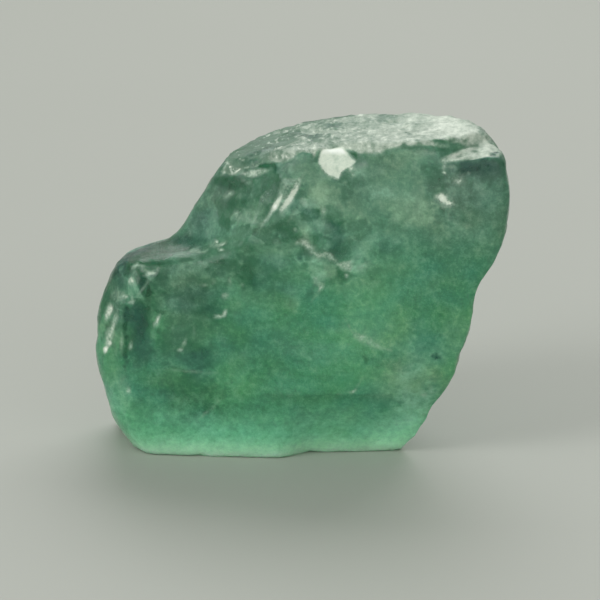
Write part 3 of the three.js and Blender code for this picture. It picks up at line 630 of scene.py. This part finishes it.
def unseen_marks(p, stray, value, side):
    """What lies on the sides away from the sight line: cracks with milky veils, flakes, scuffs, clouds.

    The flakes fill a few of the small cells, so the cell's value and side are given.
    """
    rent = wave(p, (9.0, 7.0, 8.0), seed=41.0) + 0.14 * even_wave(p, 1.8, seed=45.0) + 0.3 * stray
    torn = even_wave(p, 5.0, seed=43.0)
    crack = rise(0.06 - abs(rent), 0.0, 0.04) * rise(torn, -0.05, 0.25)
    veil = rise(rent, 0.0, 0.02) * (1.0 - rise(rent, 0.05, 0.35)) * rise(torn, -0.1, 0.3)
    flakes = rise(value, 0.84, 0.86) * side * rise(even_wave(p, 6.0, seed=53.0), 0.18, 0.3)
    scuffs = rise(wave(p, (6.0, 6.0, 3.0), seed=51.0), 0.25, 0.5)
    return {
        "white": 0.7 * crack + 0.75 * flakes + 0.5 * scuffs,
        "dark": 0.75 * rise(wave(p, (8.0, 8.0, 6.0), seed=61.0), 0.05, 0.45),
        "pale": 0.5 * rise(even_wave(p, 7.0, seed=71.0), 0.0, 0.5) + 0.6 * veil,
        "slate": rise(wave(p, (7.0, 7.0, 5.0), seed=111.0), 0.1, 0.5),
    }


def finish_marks(p, normal):
    """What lies at this point of the surface, by the name of each kind of mark."""
    across, up, seen = in_sight(p, normal)
    hidden = 1.0 - seen
    stray = 0.16 * even_wave(p, 0.8, seed=21.0) + 0.12 * even_wave(p, 0.35, seed=31.0)

    def shown(marks, wander):
        """The marks on the broad side, whose edges wander by so many times the stray."""
        return marked(marks, across, up, wander * stray) * seen

    broken = min(marked(BROKEN_PATCHES, across, up, 4.0 * stray), 1.0) * seen
    broken += UNSEEN_BREAKS * hidden
    broken += SOUND_BREAKS
    large, large_reach, _ = cells(p, LARGE_CELL, LARGE_BEND)
    small, small_reach, small_side = cells(p, SMALL_CELL, SMALL_BEND)
    seams = 0.6 * broken * (1.0 - small_side) * rise(even_wave(p, 3.0, seed=73.0), 0.0, 0.4)
    frosted = min(marked(FROST_PATCHES, across, up, 0.5 * stray), 1.0) * seen
    unseen = unseen_marks(p, stray, small, small_side)
    return {
        "white": shown(WHITE_SHARDS, 0.35) + shown(WHITE_PATCHES, 0.6) + unseen["white"] * hidden,
        "dark": shown(DARK_PATCHES, 1.5) + unseen["dark"] * hidden,
        "pale": shown(PALE_PATCHES, 1.8) + unseen["pale"] * hidden + seams,
        "slate": shown(SLATE_PATCHES, 1.5) + unseen["slate"] * hidden,
        "tone": broken * (0.5 * large + 0.5 * small - 0.5),
        "hue": 0.5 + 0.5 * wave(p, (5.0, 5.0, 4.0), seed=101.0) + 0.35 * wave(p, (2.2, 2.2, 1.8), seed=103.0),
        "top": max(topness(p, normal), frosted),
        # The painted shade band near the base.
        "band": painted_shade_band(across, up, stray) * seen,
        "broken": broken,
        "ribbed": shown(RIBBED_PATCHES, 1.0),
        "large_reach": large_reach,
        "small_reach": small_reach,
    }


def wear(work, verts):
    """Smooths these vertices once."""
    bmesh.ops.smooth_vert(work, verts=verts, factor=WEAR,
                          use_axis_x=True, use_axis_y=True, use_axis_z=True)


def wear_facets(work):
    """Splits the solid's triangles and wears them smooth, apart from the flat base."""
    bmesh.ops.subdivide_edges(work, edges=work.edges[:], cuts=COARSE_CUTS, use_grid_fill=True)
    for _ in range(SOFTENING):
        wear(work, [v for v in work.verts if v.co.z > BASE_HEIGHT * MM])
    for low, high, passes in SOFT_PLACES.values():
        inside = [v for v in work.verts
                  if all(least < value / MM < most for least, value, most in zip(low, v.co, high))]
        for _ in range(passes):
            wear(work, inside)
    work.normal_update()


def refine_crisp_places(work):
    """Splits the triangles once more wherever there is something crisp to show."""
    crisp = {v for v in work.verts if is_crisp(v.co / MM, v.normal)}
    near = [e for e in work.edges if e.verts[0] in crisp or e.verts[1] in crisp]
    bmesh.ops.subdivide_edges(work, edges=near, cuts=FINE_CUTS, use_grid_fill=True)
    bmesh.ops.triangulate(work, faces=[f for f in work.faces if len(f.verts) > 3])
    work.normal_update()


def raise_breaks(work):
    """Stores the marks on every vertex, then moves it by its relief, within the solid's own box."""
    layers = {name: work.verts.layers.float.new(name) for name in MARK_KINDS}
    moves = []
    for vert in work.verts:
        p = vert.co / MM
        marks = finish_marks(p, vert.normal)
        for name, layer in layers.items():
            vert[layer] = marks[name]
        moves.append(vert.normal * (relief(p, marks) * MM * rise(p.z, 0.0, FULL_RELIEF)))
    for vert, move in zip(work.verts, moves):
        moved = zip(vert.co + move, LOW, HIGH)
        vert.co = Vector(min(max(value, least), most) for value, least, most in moved)


def stone_mesh():
    """The solid's own shape, with its facets worn down and its fine breaks raised."""
    work = bmesh.new()
    work.from_mesh(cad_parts["fluorite"].data)
    bmesh.ops.remove_doubles(work, verts=work.verts, dist=WELD * MM)
    wear_facets(work)
    refine_crisp_places(work)
    raise_breaks(work)
    for face in work.faces:
        face.smooth = True
    finished = bpy.data.meshes.new("fluorite_stone")
    work.to_mesh(finished)
    work.free()
    return finished


# ---------------------------------------------------------------------------
# Shader maths
# ---------------------------------------------------------------------------

class Value:
    """A socket that can be used in Python sums."""

    def __init__(self, shader, socket):
        self.shader = shader
        self.socket = socket

    def _math(self, operation, *inputs):
        made = self.shader.node("ShaderNodeMath", {"operation": operation}, dict(enumerate(inputs)))
        return made["Value"]

    def __add__(self, other):
        return self._math("ADD", self, other)

    def __sub__(self, other):
        return self._math("SUBTRACT", self, other)

    def __rsub__(self, other):
        return self._math("SUBTRACT", other, self)

    def __mul__(self, other):
        return self._math("MULTIPLY", self, other)

    def between(self, start, end):
        """0 below start, 1 above end, smooth between."""
        made = self.shader.node("ShaderNodeMapRange", {"interpolation_type": "SMOOTHSTEP"},
                                {"Value": self, "From Min": start, "From Max": end})
        return made["Result"]

    __radd__ = __add__
    __rmul__ = __mul__


class Shader:
    """A material's nodes."""

    def __init__(self, name):
        self.material = bpy.data.materials.new(name)
        self.material.use_nodes = True
        self.tree = self.material.node_tree
        self.tree.nodes.clear()

    def node(self, kind, settings=None, inputs=None):
        """Adds a node: its settings first, then its sockets. Gives its outputs by name."""
        made = self.tree.nodes.new(kind)
        for key, setting in (settings or {}).items():
            setattr(made, key, setting)
        for key, value in (inputs or {}).items():
            socket = made.inputs[key]
            if isinstance(value, Value):
                self.tree.links.new(value.socket, socket)
            else:
                socket.default_value = value
        return {s.name: Value(self, s) for s in made.outputs if s.enabled}

    def place(self):
        """Where the shaded point is, in metres."""
        return self.node("ShaderNodeTexCoord")["Object"]

    def stretched(self, place, scale, turn=(0.0, 0.0, 0.0)):
        """The place, turned and then scaled along its own axes."""
        turned = self.node("ShaderNodeMapping", {"vector_type": "POINT"},
                           {"Vector": place, "Rotation": turn})["Vector"]
        return self.node("ShaderNodeVectorMath", {"operation": "MULTIPLY"}, {0: turned, 1: scale})["Vector"]

    def noise(self, place, scale, detail, roughness=0.5):
        """Smooth noise from 0 to 1."""
        made = self.node("ShaderNodeTexNoise", None, {
            "Vector": place, "Scale": scale, "Detail": detail, "Roughness": roughness})
        return made["Fac"]

    def mark(self, name):
        """What the mesh stores under this name."""
        return self.node("ShaderNodeAttribute", {"attribute_name": name})["Fac"]

    def blend(self, amount, first, second):
        """Colour that goes from first to second."""
        # A mix node has several inputs of one name, so they are given by number.
        made = self.node("ShaderNodeMix", {"data_type": "RGBA"}, {0: amount, 6: first, 7: second})
        return made["Result"]

    def principled(self, inputs, settings=None):
        """Surface with these inputs."""
        return self.node("ShaderNodeBsdfPrincipled", settings, inputs)["BSDF"]

    def mixed(self, amount, first, second):
        """Surface that goes from first to second."""
        return self.node("ShaderNodeMixShader", None, {0: amount, 1: first, 2: second})["Shader"]


def colour(red, green, blue):
    return (red, green, blue, 1.0)


# ---------------------------------------------------------------------------
# Finish of the stone, in metres
# ---------------------------------------------------------------------------

# The milky stone, from its clear greens through its greys to its dark and milky places.
LEAF_GREEN = colour(0.14, 0.50, 0.22)
SEA_GREEN = colour(0.085, 0.42, 0.265)
SLATE_GREEN = colour(0.15, 0.31, 0.23)
SLATE_GREY = colour(0.085, 0.155, 0.130)
DEEP_GREEN = colour(0.012, 0.135, 0.060)
DEEP_TEAL = colour(0.022, 0.125, 0.095)
MILK_GREEN = colour(0.47, 0.76, 0.57)
WARM_MILK = colour(0.525, 0.745, 0.505)
# Painted glow of light at the foot, and the brighter painted glow at its rim.
FOOT_GLOW_MINT = colour(0.28, 0.88, 0.54)
TOE_GLOW_MINT = colour(0.56, 0.99, 0.64)

# The white breaks and the frosted top, each from its darkest to its brightest.
VEIL_GREEN = colour(0.33, 0.46, 0.36)
BONE_WHITE = colour(0.68, 0.76, 0.64)
# The brightest white, of the painted glints and of the brightest crumbs.
GLINT_AND_CRUMB_WHITE = colour(0.90, 0.95, 0.88)
GREY_GREEN = colour(0.115, 0.205, 0.14)
FROST_WHITE = colour(0.74, 0.81, 0.70)

# The clear stone.
CLEAR_TINT = colour(0.64, 0.95, 0.80)
SHADE_TINT = colour(0.12, 0.46, 0.30)
DEPTH_TINT = colour(0.25, 0.74, 0.45)
DEPTH_DENSITY = 70.0     # absorption per metre
FLUORITE_IOR = 1.434

MILK_AMOUNT = 0.8
MILK_SPREAD = (0.6, 1.0, 0.75)       # how far red, green and blue light spread, times the scale
MILK_SCALE = 0.002
BUMP_STRENGTH = 0.5
BUMP_DISTANCE = 0.0003
FROST_ROUGHNESS = 0.5
FROST_SPECULAR = 0.3

# Heights, and a width, over which one finish gives way to another.
SLATY_HEIGHT = (0.015, 0.029)
# The painted glow fades up the foot, and up its rim, over these heights.
FOOT_GLOW_HEIGHT = (-0.0010, 0.0068)
TOE_GLOW_HEIGHT = (-0.0008, 0.0022)
RIMED_WIDTH = (-0.012, 0.016)


def stone_look(shader):
    """The marks that the mesh stores, the fine textures and the parts of the stone, by name."""
    place = shader.place()
    across, _, height = shader.node("ShaderNodeSeparateXYZ", None, {0: place}).values()
    fibre_place = shader.stretched(place, scale=(2400.0, 900.0, 300.0), turn=(0.0, -0.52, 0.0))
    streak_place = shader.stretched(place, scale=(440.0, 300.0, 800.0), turn=(0.0, 0.0, 0.12))
    crystal_place = shader.stretched(place, scale=(1900.0, 800.0, 1900.0))
    look = SimpleNamespace(**{name: shader.mark(name) for name in MARK_KINDS})
    look.mottle = shader.noise(place, scale=1400.0, detail=5.0, roughness=0.78)
    look.grit = shader.noise(place, scale=4500.0, detail=2.0, roughness=0.6)
    look.grain = shader.noise(place, scale=2300.0, detail=2.0, roughness=0.7)
    look.fibres = shader.noise(fibre_place, scale=1.0, detail=2.0, roughness=0.6)
    look.streaks = shader.noise(streak_place, scale=1.0, detail=5.0, roughness=0.72)
    look.crystals = shader.noise(crystal_place, scale=1.0, detail=2.0, roughness=0.6)

    # The greyer upper part, the painted glow of light at the foot with its brightest rim, and the right end
    # of the top, which is rimed where the rest of the top has small bright crystals.
    look.upper = (height + look.hue * 0.004 - across * 0.15).between(*SLATY_HEIGHT)
    look.foot = 1 - (height - look.mottle * 0.0030 + look.grain * 0.0012).between(*FOOT_GLOW_HEIGHT)
    look.toe = 1 - (height - look.mottle * 0.0014).between(*TOE_GLOW_HEIGHT)
    look.right = across.between(*RIMED_WIDTH)
    look.sparkle = look.crystals.between(0.57, 0.65) * look.top * (1 - look.right)
    return look


def body_colour(shader, look):
    """Colour of the milky stone."""
    hue, tone, mottle = look.hue, look.tone, look.mottle
    leafy = hue * 1.3 - 0.15 + (mottle - 0.5) * 0.8 + (look.grit - 0.5) * 0.6
    milky = shader.blend(hue.between(0.35, 0.75), MILK_GREEN, WARM_MILK)
    deep = shader.blend(hue.between(0.30, 0.60), DEEP_TEAL, DEEP_GREEN)
    body = shader.blend(leafy, SEA_GREEN, LEAF_GREEN)
    body = shader.blend(look.upper * 0.9, body, SLATE_GREEN)
    body = shader.blend(look.slate * 0.75, body, SLATE_GREY)
    body = shader.blend(tone * -1.5, body, DEEP_GREEN)
    body = shader.blend(tone * 1.1, body, milky)
    body = shader.blend(0.78 - mottle * 1.35, body, DEEP_GREEN)
    body = shader.blend(mottle * 1.4 - 0.72, body, milky)
    # Painted shade: the dark band where the base's back edge shows through the stone.
    body = shader.blend(look.band * 0.52, body, DEEP_GREEN)
    body = shader.blend(look.pale * (mottle * 1.4 - 0.1), body, milky)
    # The dark marks: deeper green, and painted shade where they stand for shadows and hollows.
    body = shader.blend(look.dark * (1.15 - mottle * 0.8), body, deep)
    # Painted glow: the foot is made mintier and its rim brighter, as if lit from below through the stone.
    body = shader.blend(look.foot * (0.45 + mottle * 0.5), body, FOOT_GLOW_MINT)
    return shader.blend(look.toe * 0.88, body, TOE_GLOW_MINT)


def clear_colour(shader, look):
    """Tint of the clear stone."""
    # The dark marks darken the clear stone too, painted shade among them.
    shade = look.dark * 0.8 - look.tone * 1.5 + (0.5 - look.mottle) * 1.5
    return shader.blend(shade, CLEAR_TINT, SHADE_TINT)


def frost_colour(shader, look):
    """Colour of the frosted top, and of the white breaks and painted glints elsewhere."""
    white, dark = look.white, look.dark
    rime = look.right * 0.66 - 0.12 + look.sparkle * 0.45 + (look.streaks - 0.5) * 1.5
    rime = rime + (look.mottle - 0.5) * 0.8 + (look.crystals - 0.5) * 0.9 + white * 0.25 - dark * 0.6
    rimed = shader.blend(rime, GREY_GREEN, FROST_WHITE)
    whiteness = white.between(0.25, 1.35) - dark * 0.8
    whiteness = whiteness + (look.grain - 0.5) * 0.8 + (look.grit - 0.5) * 0.8
    broken = shader.blend(whiteness, VEIL_GREEN, BONE_WHITE)
    # The strongest white marks, the painted glints and the brightest crumbs, get the brightest white.
    broken = shader.blend(white.between(1.2, 1.6), broken, GLINT_AND_CRUMB_WHITE)
    return shader.blend(look.top * (1 - white.between(0.9, 1.1)), broken, rimed)


def frosting(look):
    """How much of the surface is frosted, or carries a painted glint."""
    white, grain = look.white, look.grain
    texture = 0.85 + (look.grit - 0.5) * 1.8 + (grain - 0.5) * 1.0 + (look.fibres - 0.5) * 2.0
    scuffed = white.between(0.0, 1.2) * texture + white.between(0.85, 1.1) * 0.9
    frosted_top = look.top * (0.85 + (grain - 0.5) * 0.8) * (1 - look.dark * 0.7)
    return scuffed + frosted_top.between(0.0, 1.0) + look.sparkle * 0.5


def fluorite_material():
    shader = Shader("milky_green_fluorite")
    look = stone_look(shader)
    bump = shader.node("ShaderNodeBump", None, {
        "Strength": BUMP_STRENGTH,
        "Distance": BUMP_DISTANCE,
        "Height": look.mottle * 0.6 + look.grain * 0.25 + look.fibres * 0.15,
    })["Normal"]
    rough = look.grain.between(0.3, 0.75) * 0.14 + 0.11
    skin = {"Roughness": rough, "IOR": FLUORITE_IOR, "Normal": bump}
    clear = shader.principled({
        **skin,
        "Base Color": clear_colour(shader, look),
        "Transmission Weight": 1.0,
    })
    milk = shader.principled({
        **skin,
        "Base Color": body_colour(shader, look),
        "Subsurface Weight": MILK_AMOUNT,
        "Subsurface Radius": MILK_SPREAD,
        "Subsurface Scale": MILK_SCALE,
    }, {"subsurface_method": "RANDOM_WALK"})
    frost = shader.principled({
        **skin,
        "Base Color": frost_colour(shader, look),
        "Roughness": FROST_ROUGHNESS,
        "Specular IOR Level": FROST_SPECULAR,
    })
    # The painted glow at the toe also makes it milkier.
    milkiness = 0.36 + look.mottle * 0.30 + look.pale * 0.25 + look.tone * 0.5 + look.toe * 0.15
    surface = shader.mixed(frosting(look), shader.mixed(milkiness, clear, milk), frost)
    depth = shader.node("ShaderNodeVolumeAbsorption", None, {
        "Color": DEPTH_TINT, "Density": DEPTH_DENSITY})["Volume"]
    shader.node("ShaderNodeOutputMaterial", None, {"Surface": surface, "Volume": depth})
    return shader.material


# ---------------------------------------------------------------------------
# Camera, floor and light, in metres
# ---------------------------------------------------------------------------

SIGHT_TARGET = Vector((0.0, 0.0, SIGHT_HEIGHT)) * MM
VIEW_WIDTH = 60.0        # how wide a view the camera takes at the stone, in millimetres
SENSOR_WIDTH = 36.0      # in millimetres too
NEAREST_SEEN = 0.01
FLOOR_HALF = 3.0
FLOOR_GAP = 0.02 * MM    # how far the floor lies below the stone
FLOOR_TONES = (colour(0.37, 0.385, 0.345), colour(0.40, 0.415, 0.375))
FLOOR_ROUGHNESS = 0.6
AIR_COLOUR = colour(0.97, 1.0, 0.95)
AIR_STRENGTH = 0.36

# Soft lamps: [place, width and height, watts].
SOFTBOXES = {
    "key_left": ((-0.35, -0.25, 0.26), (0.20, 0.30), 1.2),
    "front_fill": ((0.20, -0.65, 0.25), (0.90, 0.60), 2.0),
    "back_top": ((0.10, 0.40, 0.45), (0.60, 0.40), 2.4),
}


def add_object(name, data):
    """Puts an object made of this data into the scene."""
    made = bpy.data.objects.new(name, data)
    bpy.context.scene.collection.objects.link(made)
    return made


def aim(thing, target):
    """Turns a camera or a lamp towards the target."""
    thing.rotation_euler = (target - thing.location).to_track_quat("-Z", "Y").to_euler()


def add_camera():
    camera = add_object("camera", bpy.data.cameras.new("camera"))
    camera.location = SIGHT_TARGET + SIGHT_BACK * (SIGHT_REACH * MM)
    aim(camera, SIGHT_TARGET)
    camera.data.sensor_width = SENSOR_WIDTH
    camera.data.lens = SENSOR_WIDTH * SIGHT_REACH / VIEW_WIDTH
    camera.data.clip_start = NEAREST_SEEN
    bpy.context.scene.camera = camera


def add_softbox(name, place, size, power):
    lamp = bpy.data.lights.new(name, "AREA")
    lamp.shape = "RECTANGLE"
    lamp.size, lamp.size_y = size
    lamp.energy = power
    box = add_object(name, lamp)
    box.location = place
    box.visible_transmission = False
    aim(box, SIGHT_TARGET)


def floor_material():
    shader = Shader("pale_floor")
    tone = shader.blend(shader.noise(shader.place(), scale=8.0, detail=2.0), *FLOOR_TONES)
    surface = shader.principled({"Base Color": tone, "Roughness": FLOOR_ROUGHNESS})
    shader.node("ShaderNodeOutputMaterial", None, {"Surface": surface})
    return shader.material


def add_floor():
    sheet = bmesh.new()
    bmesh.ops.create_grid(sheet, x_segments=1, y_segments=1, size=FLOOR_HALF)
    bmesh.ops.translate(sheet, verts=sheet.verts, vec=(0, 0, -FLOOR_GAP))
    mesh = bpy.data.meshes.new("floor")
    sheet.to_mesh(mesh)
    sheet.free()
    floor = add_object("floor", mesh)
    floor.data.materials.append(floor_material())


def add_studio_air():
    world = bpy.data.worlds.new("studio")
    world.use_nodes = True
    air = world.node_tree.nodes["Background"]
    air.inputs["Color"].default_value = AIR_COLOUR
    air.inputs["Strength"].default_value = AIR_STRENGTH
    bpy.context.scene.world = world


stone = add_object("fluorite_stone", stone_mesh())
stone.data.materials.append(fluorite_material())
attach(stone, "root")
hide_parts("fluorite")

add_camera()
add_floor()
add_studio_air()
for box_name, (box_place, box_size, box_power) in SOFTBOXES.items():
    add_softbox(box_name, box_place, box_size, box_power)
bpy.context.scene.view_settings.view_transform = "Standard"
